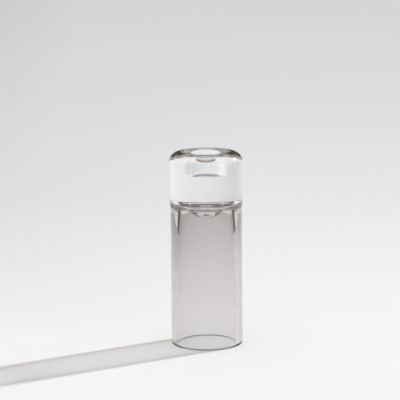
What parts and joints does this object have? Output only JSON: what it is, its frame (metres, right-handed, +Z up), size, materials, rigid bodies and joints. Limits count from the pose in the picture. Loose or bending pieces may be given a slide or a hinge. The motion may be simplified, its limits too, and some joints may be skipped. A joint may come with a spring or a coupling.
{
  "type": "reversible glass cylinder vase",
  "caption": "Glass cylinder vase: smoked glass tube, open at one end, fused to a thick clear glass block with a taper-candle pocket, so that it can stand either way up.",
  "frame": {"origin": "centre of the open rim's plane, which the object stands on", "axes": "+Z up along the axis, from the open rim to the clear block's top face"},
  "size_m": [0.06, 0.06, 0.16],
  "materials": {
    "clear_glass": "clear, fire-polished",
    "smoked_glass": "smoked grey-brown, fire-polished"
  },
  "bodies": {
    "root": {"clear_glass_block": "clear_glass", "smoked_glass_cylinder": "smoked_glass"}
  },
  "joints": []
}
